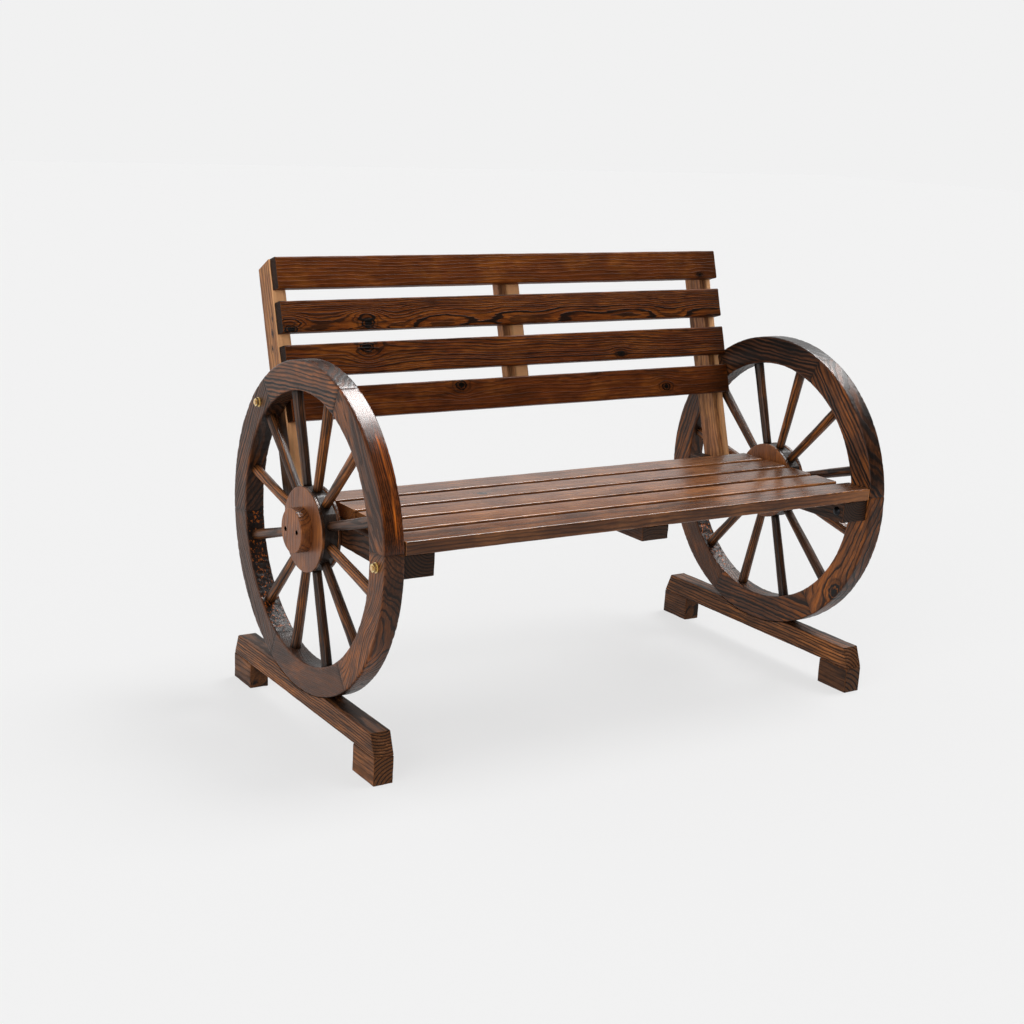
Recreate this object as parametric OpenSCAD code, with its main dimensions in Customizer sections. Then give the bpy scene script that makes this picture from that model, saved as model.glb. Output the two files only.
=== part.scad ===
// Garden bench carried by two spoked wagon wheels.
// Millimetres. Seen from the front, +X is to the right, +Y to the back and +Z up.
// The origin is on the ground, midway between the wheels and under the hubs. Left and
// right are as seen from the front.

/* [Overall] */
// Height of the top of the back above the ground
overall_height = 774.7; // [740:1:820]
// Width across the outer faces of the two base beams
base_span = 1041.4; // [900:0.1:1300]

/* [Wheels] */
// Outer diameter of a wheel
wheel_d = 560; // [540:1:600]
// Thickness of a wheel, from face to face
wheel_t = 36; // [34:1:42]
// Radial width of the rim
rim_w = 51; // [46:1:56]
// Chamfer along the edges of the rim
rim_ease = 3; // [1:0.5:4]
// Felloes in each rim
felloe_count = 6; // [3, 6]
// Angle of the first felloe joint above the horizontal at the back
joint_turn = -6; // [-8:0.5:-3]
// Spokes in each wheel, an even number
spoke_count = 12; // [6, 12]
// Angle of the first spoke above the horizontal at the back
first_spoke_angle = 13; // [11:0.5:15]
// Diameter of a spoke where it meets the hub
spoke_hub_d = 16; // [14:0.5:17]
// Diameter of a spoke where it meets the rim
spoke_rim_d = 19; // [17:0.5:20]
// Diameter of the tenon at the hub end of a spoke
hub_tenon_d = 12; // [9:0.5:12]
// Length of the tenon at the hub end of a spoke
hub_tenon_l = 20; // [14:1:22]
// Diameter of the tenon at the rim end of a spoke
rim_tenon_d = 14; // [10:0.5:15]
// Length of the tenon at the rim end of a spoke
rim_tenon_l = 17; // [12:1:17]
// Diameter of the dowels that join the felloes
dowel_d = 8; // [6:0.5:8]
// Length of the dowels that join the felloes
dowel_l = 40; // [30:1:44]

/* [Hubs] */
// Width of the hub core across its flats
core_w = 140; // [130:1:142]
// Diameter of the two discs that close the hub
disc_d = 144; // [140:1:160]
// Thickness of each hub disc
disc_t = 6; // [5:0.5:8.5]
// Diameter of the boss on the outer disc
boss_d = 76; // [60:1:90]
// Thickness of the boss
boss_t = 21; // [15:1:26]
// Chamfer along the edges of the discs and the boss
turned_ease = 1.5; // [0.5:0.5:2]
// Distance of each hub screw from the axle line
hub_screw_r = 21; // [16:1:22]

/* [Base] */
// Length of a base beam, front to back
beam_l = 539.8; // [500:1:600]
// Width of a base beam
beam_w = 36; // [34:1:48]
// Height of a base beam
beam_h = 38; // [34:1:48]
// Amount by which each beam end slants in at the top
end_slant = 15; // [5:1:25]
// Height of a foot block
foot_h = 47; // [40:1:60]
// Length of a foot block
foot_l = 72; // [60:1:90]
// Depth of the saddle that the wheel sits in
saddle_depth = 15; // [10:1:18]

/* [Seat] */
// Height of the top of the seat above the hub centre
seat_rise = 47; // [42:1:55]
// Distance of the seat's front edge behind the front of the wheels
front_inset = 4; // [2:1:10]
// Width of every slat
slat_w = 55; // [50:1:58]
// Thickness of every slat
slat_t = 23; // [20:1:26]
// Radius along the edges of the slats
slat_ease = 3; // [1:0.5:5]
// Gap between seat slats
seat_gap = 12; // [8:1:14]
// Slats in the seat
seat_slats = 5; // [4:1:6]
// Clearance between the wheels and the ends of the back slats and the front seat slat
end_gap = 2.1; // [1:0.1:6]
// Distance by which the other seat slats stop short of the wheels
short_gap = 18.7; // [10:0.1:24]
// Width of a side rail under the seat
rail_w = 57; // [50:1:64]
// Height of a side rail under the seat
rail_h = 38; // [34:1:44]
// Distance of the rails' front ends behind the seat's front edge
rail_setback = 4; // [2:1:10]
// Length of rail left behind the post
rail_tail = 12; // [5:1:20]
// Thickness of the middle batten under the seat
seat_batten_t = 25; // [20:1:30]
// Width of the middle batten under the seat
seat_batten_w = 55; // [45:1:70]

/* [Back] */
// Lean of the back from the vertical, in degrees
back_lean = 17.5; // [13:0.5:19]
// Gap between back slats
back_gap = 21; // [12:0.5:24]
// Slats in the back
back_slats = 4; // [3:1:5]
// Distance from the seat's rear edge to the slats of the back, at seat height
back_clearance = 41; // [35:1:55]
// Width of a back post
post_w = 27; // [24:1:32]
// Depth of a back post, front to back
post_d = 46; // [40:1:52]
// Radius along the edges of a post
post_ease = 2; // [1:0.5:4]
// Drop of the bevel at the top of a post
post_bevel = 10; // [4:1:16]
// Width of the middle batten behind the back slats
back_batten_w = 47; // [40:1:70]
// Thickness of the middle batten behind the back slats
back_batten_t = 20; // [18:1:26]
// Distance by which the middle batten stops short of the outer edges of the slats
back_batten_inset = 14; // [0:1:20]

/* [Fasteners] */
// Diameter of the bolts
bolt_d = 8; // [6:0.5:8]
// Extra diameter of the bolt holes
bolt_fit = 0.5; // [0.2:0.1:1]
// Diameter of a bolt's round head
bolt_head_d = 17; // [14:0.5:18]
// Height of a bolt's round head
bolt_head_h = 4.5; // [3.5:0.5:5]
// Width of a nut across its flats
nut_w = 13; // [11:0.5:14]
// Height of a nut with its flange
nut_h = 7; // [6:0.5:9]
// Diameter of the flange on a nut
flange_d = 17; // [15:0.5:20]
// Length of bolt that stands out of its nut
bolt_proud = 2; // [1:0.5:4]
// Diameter of a wood screw
screw_d = 4.5; // [3.5:0.5:5]
// Diameter of a wood screw's countersunk head
screw_head_d = 8.5; // [7.5:0.5:10]
// Depth to which the slat screws enter a slat
slat_bite = 14; // [10:1:15]
// Distance of the seat screws behind the middle of each slat
seat_screw_offset = 8; // [7:1:12]
// Least distance between the middle lines of a slat screw and a bolt
screw_clear = 12; // [10:0.5:14]
// Depth of the counterbore under each foot screw
foot_bore_depth = 6; // [3:1:10]
// Depth to which the foot screws enter the beam
beam_bite = 24; // [18:1:28]
// Distance of the two beam screws from the middle of the beam
beam_screw_y = 40; // [36:1:48]
// Depth to which the beam screws enter the rim
rim_bite = 24; // [18:1:28]
// Depth to which the hub screws enter the core
core_bite = 12; // [8:1:14]

/* [Hidden] */
$fn = 64;
eps = 0.01;
over = 1;
long = 400;
full_turn = 360;
sides = ["left", "right"];
felloes = [1:felloe_count];
spoke_pairs = [1:spoke_count / 2];
hub_screw_turn = -5;

wheel_r = wheel_d / 2;
rim_inner_r = wheel_r - rim_w;
rim_mid_r = wheel_r - rim_w / 2;
felloe_turn = full_turn / felloe_count;
spoke_turn = full_turn / spoke_count;
core_r = core_w / 2;
core_t = wheel_t - 2 * disc_t;
dowel_r = (rim_mid_r + (bolt_d + bolt_fit) / 2 + wheel_r) / 2;
shoulder_r = sqrt(pow(rim_inner_r, 2) - pow(spoke_rim_d / 2, 2));

beam_top = foot_h + beam_h;
hub_z = beam_top - saddle_depth + wheel_r;
wheel_x = base_span / 2 - beam_w / 2;
wheel_in = wheel_x - wheel_t / 2;
wheel_out = wheel_x + wheel_t / 2;

seat_top = hub_z + seat_rise;
seat_front = front_inset - wheel_r;
seat_pitch = slat_w + seat_gap;
seat_rear = seat_front + seat_slats * seat_pitch - seat_gap;
rail_top = seat_top - slat_t;
rail_mid = rail_top - rail_h / 2;
rail_low = rail_top - rail_h;
rail_in = wheel_in - rail_w;
rail_front = seat_front + rail_setback;
rail_screw_x = rail_in + (rail_w - post_w) / 2;
seat_batten_l = seat_slats * seat_pitch - seat_gap - 2 * rail_setback;

back_pitch = slat_w + back_gap;
back_z = overall_height + slat_ease * (sin(back_lean) + cos(back_lean) - 1);
back_y = seat_rear + back_clearance + (back_z - seat_top) * tan(back_lean);
back_l = back_slats * back_pitch - back_gap;
post_in = wheel_in - post_w;
post_rear = slat_t + post_d;
post_l = (back_z - rail_low) / cos(back_lean) + post_rear;

function spoke_angle(k) = first_spoke_angle + k * spoke_turn;

// Middle line of a post, as the distance behind the hub at a height above it
function post_mid(rise) =
    back_y + (slat_t + post_d / 2) / cos(back_lean) + (hub_z + rise - back_z) * tan(back_lean);

// Height above the hub at which the middle line of a post crosses the middle of the rim
post_slope = tan(back_lean);
post_foot = post_mid(0);
post_square = 1 + pow(post_slope, 2);
rear_bolt_rise = (sqrt(post_square * pow(rim_mid_r, 2) - pow(post_foot, 2)) - post_slope * post_foot)
    / post_square;
rear_bolt_y = post_mid(rear_bolt_rise);
rear_bolt_turn = atan2(rear_bolt_rise, rear_bolt_y);
front_bolt_rise = rail_mid - hub_z;
front_bolt_y = -sqrt(pow(rim_mid_r, 2) - pow(front_bolt_rise, 2));
front_bolt_turn = 180 - asin(front_bolt_rise / rim_mid_r);
rail_bolt_y = post_mid(front_bolt_rise);
rail_end = rail_bolt_y + post_d / 2 / cos(back_lean) + rail_tail;

// Place of the rear bolt along the slope of the back, from the top
rear_bolt_place = (hub_z + rear_bolt_rise - back_z) * cos(back_lean)
    + (rear_bolt_y - back_y) * sin(back_lean);

saddle_z = hub_z - sqrt(pow(wheel_r, 2) - pow(beam_screw_y, 2));
beam_screw_l = saddle_z - foot_h + rim_bite;
foot_screw_l = foot_h - foot_bore_depth + beam_bite;
foot_screw_gap = foot_l / 4;

dark = "#4a2f21";
brown = "#6b3f26";
red_brown = "#7a4528";
tan_wood = "#a06a3c";
iron = "#2b2b2c";
zinc = "#c9a63f";

// Placing

module on_side(s) {
    if (s == "left") mirror([1, 0, 0]) children();
    else children();
}

module on_both() {
    for (s = sides) on_side(s) children();
}

// Wheel plane: local X runs to the back, local Y up and local Z outward along the axle
module at_wheel(s) {
    on_side(s) translate([wheel_x, 0, hub_z]) rotate([90, 0, 90]) children();
}

// Back plane: local Y runs into the slats from their front faces, local Z up the back
module on_back() {
    translate([0, back_y, back_z]) rotate([-back_lean, 0, 0]) children();
}

// Shared shapes

module eased_section(w, h, r) {
    square([w - 2 * r, h], center = true);
    square([w, h - 2 * r], center = true);
    for (x = [-1, 1], y = [-1, 1]) translate([x * (w / 2 - r), y * (h / 2 - r)]) circle(r = r, $fn = 24);
}

// A slat lies along X with its lower front edge on the origin's Y and Z
module slat(l) {
    translate([-l / 2, slat_w / 2, slat_t / 2]) rotate([90, 0, 90])
        linear_extrude(height = l) eased_section(slat_w, slat_t, slat_ease);
}

module turned_disc(d, t) {
    e = turned_ease;
    rotate_extrude($fn = 96)
        polygon([[0, 0], [d / 2 - e, 0], [d / 2, e], [d / 2, t - e], [d / 2 - e, t], [0, t]]);
}

// A screw points along +Z with the top of its countersunk head on the origin. Where it
// cuts its own hole, the head's cut is carried out past the surface by the amount `out`.
module wood_screw(l, out = 0) {
    cylinder(d1 = screw_head_d, d2 = screw_d, h = (screw_head_d - screw_d) / 2);
    cylinder(d = screw_d, h = l);
    if (out > 0) translate([0, 0, -out]) cylinder(d = screw_head_d, h = out);
}

// Wheels

module rim_section() {
    e = rim_ease;
    t = wheel_t / 2;
    polygon([
        [rim_inner_r, e - t], [rim_inner_r + e, -t], [wheel_r - e, -t], [wheel_r, e - t],
        [wheel_r, t - e], [wheel_r - e, t], [rim_inner_r + e, t], [rim_inner_r, t - e]
    ]);
}

function in_felloe(i, turn) =
    let (t = (turn - joint_turn + 2 * full_turn) % full_turn)
    t >= (i - 1) * felloe_turn && t < i * felloe_turn;

module rim_bolt_hole(turn) {
    rotate([0, 0, turn]) translate([rim_mid_r, 0, 0])
        cylinder(d = bolt_d + bolt_fit, h = 2 * wheel_t, center = true);
}

module beam_screw_holes() {
    for (end = [-1, 1]) translate([end * beam_screw_y, foot_h - hub_z, 0])
        rotate([-90, 0, 0]) wood_screw(beam_screw_l);
}

module joint_dowel(i) {
    rotate([0, 0, joint_turn + i * felloe_turn]) translate([dowel_r, 0, 0])
        rotate([90, 0, 0]) cylinder(d = dowel_d, h = dowel_l, center = true);
}

// Each felloe is a sixth of the rim, with sockets for its spokes and a dowel hole in each end
module felloe(s, i) {
    color(i % 2 == 0 ? brown : dark) at_wheel(s) difference() {
        rotate([0, 0, joint_turn + (i - 1) * felloe_turn])
            rotate_extrude(angle = felloe_turn, $fn = 180) rim_section();
        for (k = [0:spoke_count - 1])
            if (in_felloe(i, spoke_angle(k))) rotate([0, 0, spoke_angle(k)]) rotate([0, 90, 0])
                translate([0, 0, shoulder_r - over]) cylinder(d = rim_tenon_d, h = rim_tenon_l + over);
        joint_dowel(i - 1);
        joint_dowel(i);
        if (in_felloe(i, rear_bolt_turn)) rim_bolt_hole(rear_bolt_turn);
        if (in_felloe(i, front_bolt_turn)) rim_bolt_hole(front_bolt_turn);
        if (in_felloe(i, 270)) beam_screw_holes();
    }
}

module felloe_dowels() {
    color(tan_wood) for (s = sides, i = felloes) at_wheel(s) joint_dowel(i);
}

// A spoke points along +Z from the axle: tenon, tapered body, tenon
module spoke() {
    translate([0, 0, core_r - hub_tenon_l]) cylinder(d = hub_tenon_d, h = hub_tenon_l + eps);
    translate([0, 0, core_r]) cylinder(d1 = spoke_hub_d, d2 = spoke_rim_d, h = shoulder_r - core_r);
    translate([0, 0, shoulder_r - eps]) cylinder(d = rim_tenon_d, h = rim_tenon_l + eps);
}

module spoke_pair(s, i) {
    color(brown) at_wheel(s) for (half = [0, 180])
        rotate([0, 0, spoke_angle(i - 1) + half]) rotate([0, 90, 0]) spoke();
}

// Hubs

module hub_screw_set(s, out = 0) {
    at_wheel(s) for (half = [0, 180]) rotate([0, 0, hub_screw_turn + half])
        translate([hub_screw_r, 0, wheel_t / 2 + boss_t]) rotate([180, 0, 0])
            wood_screw(boss_t + disc_t + core_bite, out);
}

// The core has one flat for each spoke, with the tenon's socket in the middle of it
module hub_core(s) {
    color(iron) difference() {
        at_wheel(s) rotate([0, 0, spoke_angle(0.5)]) cylinder(
            r = core_r / cos(spoke_turn / 2), h = core_t, center = true, $fn = spoke_count);
        at_wheel(s) for (k = [0:spoke_count - 1]) rotate([0, 0, spoke_angle(k)]) rotate([0, 90, 0])
            translate([0, 0, core_r - hub_tenon_l]) cylinder(d = hub_tenon_d, h = hub_tenon_l + over);
        hub_screw_set(s);
    }
}

module inner_hub_disc(s) {
    color(red_brown) at_wheel(s) translate([0, 0, -wheel_t / 2]) turned_disc(disc_d, disc_t);
}

module outer_hub_disc(s) {
    color(red_brown) difference() {
        at_wheel(s) translate([0, 0, wheel_t / 2 - disc_t]) turned_disc(disc_d, disc_t);
        hub_screw_set(s);
    }
}

module hub_boss(s) {
    color(brown) difference() {
        at_wheel(s) translate([0, 0, wheel_t / 2]) turned_disc(boss_d, boss_t);
        hub_screw_set(s, over);
    }
}

module hub_screws() {
    color(zinc) for (s = sides) hub_screw_set(s);
}

// Base

module beam_profile() {
    polygon([
        [-beam_l / 2, foot_h], [beam_l / 2, foot_h],
        [beam_l / 2 - end_slant, beam_top], [end_slant - beam_l / 2, beam_top]
    ]);
}

module at_foot(end) {
    translate([wheel_x, end * (beam_l - foot_l) / 2, 0]) children();
}

module foot_screw_pair(out = 0) {
    for (k = [-1, 1]) translate([0, k * foot_screw_gap, foot_bore_depth]) wood_screw(foot_screw_l, out);
}

module foot_screw_set() {
    for (end = [-1, 1]) at_foot(end) foot_screw_pair();
}

module beam_screw_set(out = 0) {
    for (end = [-1, 1]) translate([wheel_x, end * beam_screw_y, foot_h]) wood_screw(beam_screw_l, out);
}

// The top of each beam is cut to a saddle of the wheel's own radius
module base_beam(s) {
    color(dark) on_side(s) difference() {
        translate([wheel_x - beam_w / 2, 0, 0]) rotate([90, 0, 90])
            linear_extrude(height = beam_w) beam_profile();
        translate([wheel_x, 0, hub_z]) rotate([0, 90, 0])
            cylinder(r = wheel_r, h = 2 * beam_w, center = true, $fn = 180);
        foot_screw_set();
        beam_screw_set(over);
    }
}

module foot(s, end) {
    color(dark) on_side(s) at_foot(end) difference() {
        translate([-beam_w / 2, -foot_l / 2, 0]) cube([beam_w, foot_l, foot_h]);
        foot_screw_pair();
        for (k = [-1, 1]) translate([0, k * foot_screw_gap, -over])
            cylinder(d = screw_head_d, h = foot_bore_depth + over);
    }
}

module base_screws() {
    color(zinc) on_both() {
        foot_screw_set();
        beam_screw_set();
    }
}

// Seat, from the front slat to the rear one

function seat_slat_y(i) = seat_front + (i - 1) * seat_pitch;

// Place of a screw, moved along just far enough to miss a bolt
function missing(place, bolt_place) =
    let (d = place - bolt_place)
    abs(d) < screw_clear ? bolt_place + (d < 0 ? -screw_clear : screw_clear) : place;

module seat_screw_set(out = 0) {
    l = rail_h + slat_bite;
    for (i = [1:seat_slats])
    translate([0, missing(seat_slat_y(i) + slat_w / 2 + seat_screw_offset, front_bolt_y), 0]) {
        for (x = [-1, 1]) translate([x * rail_screw_x, 0, rail_low]) wood_screw(l, out);
        translate([0, 0, rail_top - seat_batten_t]) wood_screw(seat_batten_t + slat_bite, out);
    }
}

module seat_slat(i) {
    gap = i == 1 ? end_gap : short_gap;
    color(brown) difference() {
        translate([0, seat_slat_y(i), rail_top]) slat(2 * (wheel_in - gap));
        seat_screw_set();
    }
}

module seat_batten() {
    color(tan_wood) difference() {
        translate([-seat_batten_w / 2, rail_front, rail_top - seat_batten_t])
            cube([seat_batten_w, seat_batten_l, seat_batten_t]);
        seat_screw_set(over);
    }
}

// A rail is notched at the back, so that the post seats against its shoulder and beside its tail
module seat_rail(s) {
    color(dark) on_side(s) difference() {
        translate([rail_in, rail_front, rail_low]) cube([rail_w, rail_end - rail_front, rail_h]);
        on_back() translate([post_in, slat_t, -post_l]) cube([post_w + over, long, post_l]);
        rail_bolt_holes();
        seat_screw_set(over);
    }
}

module rail_bolt_holes() {
    for (y = [front_bolt_y, rail_bolt_y]) translate([rail_in - over, y, rail_mid]) rotate([0, 90, 0])
        cylinder(d = bolt_d + bolt_fit, h = rail_w + 2 * over);
}

// Back, from the top slat to the lowest one

function back_slat_z(i) = -(i - 1) * back_pitch;

module back_screw_set(out = 0) {
    for (i = [1:back_slats], x = [-1, 0, 1]) {
        backing = x == 0 ? back_batten_t : post_d;
        z = missing(back_slat_z(i) - slat_w / 2, rear_bolt_place);
        on_back() translate([x * (wheel_in - post_w / 2), slat_t + backing, z])
            rotate([90, 0, 0]) wood_screw(backing + slat_bite, out);
    }
}

module back_slat(i) {
    color(red_brown) difference() {
        on_back() translate([0, 0, back_slat_z(i)]) rotate([-90, 0, 0]) slat(2 * (wheel_in - end_gap));
        back_screw_set();
    }
}

// The post is cut level at the foot, and its top is bevelled down to the back
module back_post(s) {
    color(tan_wood) on_side(s) difference() {
        on_back() translate([post_in + post_w / 2, slat_t + post_d / 2, -post_l])
            linear_extrude(height = post_l) eased_section(post_w, post_d, post_ease);
        on_back() translate([post_in - over, slat_t, 0]) rotate([-atan2(post_bevel, post_d), 0, 0])
            translate([0, -long / 2, 0]) cube([post_w + 2 * over, long, long]);
        translate([post_in - over, -long, rail_low - long]) cube([post_w + 2 * over, 2 * long, long]);
        for (at = [[rear_bolt_y, hub_z + rear_bolt_rise], [rail_bolt_y, rail_mid]])
            translate([post_in - over, at[0], at[1]]) rotate([0, 90, 0])
                cylinder(d = bolt_d + bolt_fit, h = post_w + 2 * over);
        back_screw_set(over);
    }
}

module back_batten() {
    color(tan_wood) difference() {
        on_back() translate([-back_batten_w / 2, slat_t, back_batten_inset - back_l])
            cube([back_batten_w, back_batten_t, back_l - 2 * back_batten_inset]);
        back_screw_set(over);
    }
}

module slat_screws() {
    color(zinc) {
        seat_screw_set();
        back_screw_set();
    }
}

// Bolts: each points along +X from under its round head, and takes its nut at the grip length

module bolt(grip) {
    cap_r = (pow(bolt_head_d / 2, 2) + pow(bolt_head_h, 2)) / (2 * bolt_head_h);
    rotate([0, 90, 0]) {
        intersection() {
            translate([0, 0, cap_r - bolt_head_h]) sphere(r = cap_r);
            translate([0, 0, -bolt_head_h]) cylinder(d = bolt_head_d, h = bolt_head_h);
        }
        translate([0, 0, -eps]) cylinder(d = bolt_d, h = grip + nut_h + bolt_proud + eps);
    }
}

module flange_nut() {
    flange_t = nut_h / 4;
    rotate([0, 90, 0]) difference() {
        union() {
            cylinder(d = flange_d, h = flange_t);
            cylinder(d = nut_w / cos(30), h = nut_h, $fn = 6);
        }
        translate([0, 0, -over]) cylinder(d = bolt_d, h = nut_h + 2 * over);
    }
}

module carriage_bolts() {
    color(iron) on_both() {
        translate([rail_in, front_bolt_y, rail_mid]) bolt(wheel_out - rail_in);
        translate([post_in, rear_bolt_y, hub_z + rear_bolt_rise]) bolt(wheel_out - post_in);
        translate([wheel_in, rail_bolt_y, rail_mid]) mirror([1, 0, 0]) bolt(rail_w);
    }
}

module flange_nuts() {
    color(zinc) on_both() {
        translate([wheel_out, front_bolt_y, rail_mid]) flange_nut();
        translate([wheel_out, rear_bolt_y, hub_z + rear_bolt_rise]) flange_nut();
        translate([rail_in, rail_bolt_y, rail_mid]) mirror([1, 0, 0]) flange_nut();
    }
}

for (s = sides, i = felloes) felloe(s, i);
for (s = sides, i = spoke_pairs) spoke_pair(s, i);
for (s = sides) hub_core(s);
for (s = sides) inner_hub_disc(s);
for (s = sides) outer_hub_disc(s);
for (s = sides) hub_boss(s);
for (i = [1:seat_slats]) seat_slat(i);
for (i = [1:back_slats]) back_slat(i);
for (s = sides) back_post(s);
for (s = sides) seat_rail(s);
for (s = sides) base_beam(s);
for (s = sides) foot(s, -1);
for (s = sides) foot(s, 1);
seat_batten();
back_batten();
felloe_dowels();
carriage_bolts();
flange_nuts();
slat_screws();
base_screws();
hub_screws();
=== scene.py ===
"""The looks of the wagon wheel bench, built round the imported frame."""

import math
from dataclasses import dataclass, field, replace

import bmesh
import bpy
import numpy as np
from mathutils import Matrix, Vector, noise


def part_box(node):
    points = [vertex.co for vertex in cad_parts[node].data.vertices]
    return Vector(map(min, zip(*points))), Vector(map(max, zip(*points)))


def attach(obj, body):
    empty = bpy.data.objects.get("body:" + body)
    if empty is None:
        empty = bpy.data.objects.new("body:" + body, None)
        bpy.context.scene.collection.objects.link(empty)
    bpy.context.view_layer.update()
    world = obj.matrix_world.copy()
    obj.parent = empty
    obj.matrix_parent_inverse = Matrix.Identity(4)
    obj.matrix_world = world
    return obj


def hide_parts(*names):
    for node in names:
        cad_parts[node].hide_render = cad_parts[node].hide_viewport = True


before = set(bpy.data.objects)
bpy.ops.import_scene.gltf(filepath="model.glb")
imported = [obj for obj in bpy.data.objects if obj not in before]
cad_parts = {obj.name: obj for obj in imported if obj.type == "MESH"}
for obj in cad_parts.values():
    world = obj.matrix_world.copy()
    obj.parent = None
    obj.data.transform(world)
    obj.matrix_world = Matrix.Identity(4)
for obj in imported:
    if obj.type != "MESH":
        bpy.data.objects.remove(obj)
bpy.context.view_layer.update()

MM = 0.001
SIDES = {"left": -1, "right": 1}
X, Y, Z = np.eye(3)


def reach_of(axis, nodes):
    """Lowest and highest place of some CAD nodes on an axis, in millimetres."""
    boxes = [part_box(node) for node in nodes]
    low = min(Vector(box[0]) @ Vector(axis) for box in boxes)
    high = max(Vector(box[1]) @ Vector(axis) for box in boxes)
    return low / MM, high / MM


def middle_of(axis, *nodes):
    """The middle of some CAD nodes on an axis, to a tenth of a millimetre."""
    low, high = reach_of(axis, nodes)
    return round((low + high) / 2, 1)


def size_of(axis, *nodes):
    """The size of some CAD nodes on an axis, to a tenth of a millimetre."""
    low, high = reach_of(axis, nodes)
    return round(high - low, 1)


# Sizes in millimetres, from the frame

FELLOES = 6
LEFT_RIM = [f"left_felloe_{k + 1}" for k in range(FELLOES)]
WHEEL_X = {side: middle_of(X, f"{side}_hub_core") for side in SIDES}
HUB_HEIGHT = middle_of(Z, *LEFT_RIM)
WHEEL_RADIUS = size_of(Z, *LEFT_RIM) / 2
RIM_THICKNESS = size_of(X, *LEFT_RIM)
DISC_D, DISC_T = size_of(Z, "left_outer_hub_disc"), size_of(X, "left_outer_hub_disc")
BOSS_D, BOSS_T = size_of(Z, "left_hub_boss"), size_of(X, "left_hub_boss")
BACK_RISE = middle_of(Z, "back_slat_1") - middle_of(Z, "back_slat_4")
BACK_RUN = middle_of(Y, "back_slat_1") - middle_of(Y, "back_slat_4")
BACK_LEAN = round(math.degrees(math.atan2(BACK_RUN, BACK_RISE)), 1)

# Sizes in millimetres and turns in degrees that the frame's boxes don't tell

RIM_INNER = 229.0
RIM_EASE = 3.0
JOINT_TURN = -6.0
SPOKES = 12
FIRST_SPOKE = 13.0
SPOKE_HUB_D, SPOKE_RIM_D = 16.0, 19.0
HUB_TENON_D, RIM_TENON_D = 12.0, 14.0
HUB_TENON_END, SHOULDER, RIM_TENON_END = 50.0, 70.0, 245.8
# The body of a spoke ends a little inside the rim, whose inner face is uneven
SPOKE_END = RIM_INNER + 0.6
TENON_EASE = 0.8
TURNED_EASE = 1.5

# Counts, pitches in millimetres and limits in degrees for the meshes

FELLOE_STATIONS = 106
SECTION_PITCH = 2.8
CORNER_POINTS = 4
BOARD_PITCH = (14.0, 9.0, 9.0)
FIRST_CUT = 3.0
END_PITCH = 1.0
EASED_LENGTH, EASED_ANGLE = 12.0, 32.0
SHADED_SHARP = 38.0
SPOKE_STATIONS, SPOKE_SEGMENTS = 30, 28
DISC_RINGS, DISC_SEGMENTS = 12, 72

KNOTS = 3
KNOT_STRETCH = 1.5

UP_SLOPE = np.array([0, math.sin(math.radians(BACK_LEAN)), math.cos(math.radians(BACK_LEAN))])
BACKWARD = np.cross(UP_SLOPE, X)


# The grain of each piece

@dataclass
class Grain:
    """How one piece lay in its log. Lengths are in millimetres.

    A knot is its place along and across, its size, and how hard it pulls the rings.
    """

    along: np.ndarray = field(default_factory=lambda: X)
    across: np.ndarray = field(default_factory=lambda: Y)
    pith: tuple = (-40.0, -60.0)
    ring: float = 4.0
    slope: tuple = (0.0, 0.0)
    wave: tuple = (2.0, 2.0)
    wave_length: float = 180.0
    knots: tuple = ()
    tone: float = 0.0
    contrast: float = 0.6
    bold: float = 0.3
    char: float = 0.3
    seed: float = 0.0


def ramp(values, start, end):
    """Rises from 0 to 1 as the values go from start to end."""
    return np.clip((values - start) / (end - start), 0, 1)


def smooth_noise(points, stretch, seed):
    """Noise from -1 to 1 at each point, the points being divided by stretch."""
    shift = Vector((seed * 7.31, seed * 3.17, seed * 11.9))
    scaled = points / np.asarray(stretch, float)
    return np.array([noise.noise(Vector(p) + shift) for p in scaled])


def log_place(points, centre, grain):
    """Places along, across and through the log, in millimetres, and in rings from the pith."""
    through = np.cross(grain.along, grain.across)
    local = (points - centre) @ np.array([grain.along, grain.across, through]).T
    stretch = (grain.wave_length, 60, 60)
    sway = [
        smooth_noise(local, stretch, grain.seed + shift) * wave * 2
        for shift, wave in zip((0.3, 5.7), grain.wave)
    ]
    rings = [
        (local[:, k + 1] - grain.pith[k] - grain.slope[k] * local[:, 0] + sway[k]) / grain.ring
        for k in (0, 1)
    ]
    return local, np.column_stack([local[:, 0], rings[0], rings[1]])


def ring_relief(rings):
    """Height from 0 to 1 of brushed end grain: the hard late wood stands proud."""
    turn = np.hypot(rings[:, 1], rings[:, 2]) % 1.0
    return np.clip(np.abs(np.sin(np.pi * turn)) ** 0.8, 0, 1)


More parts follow.
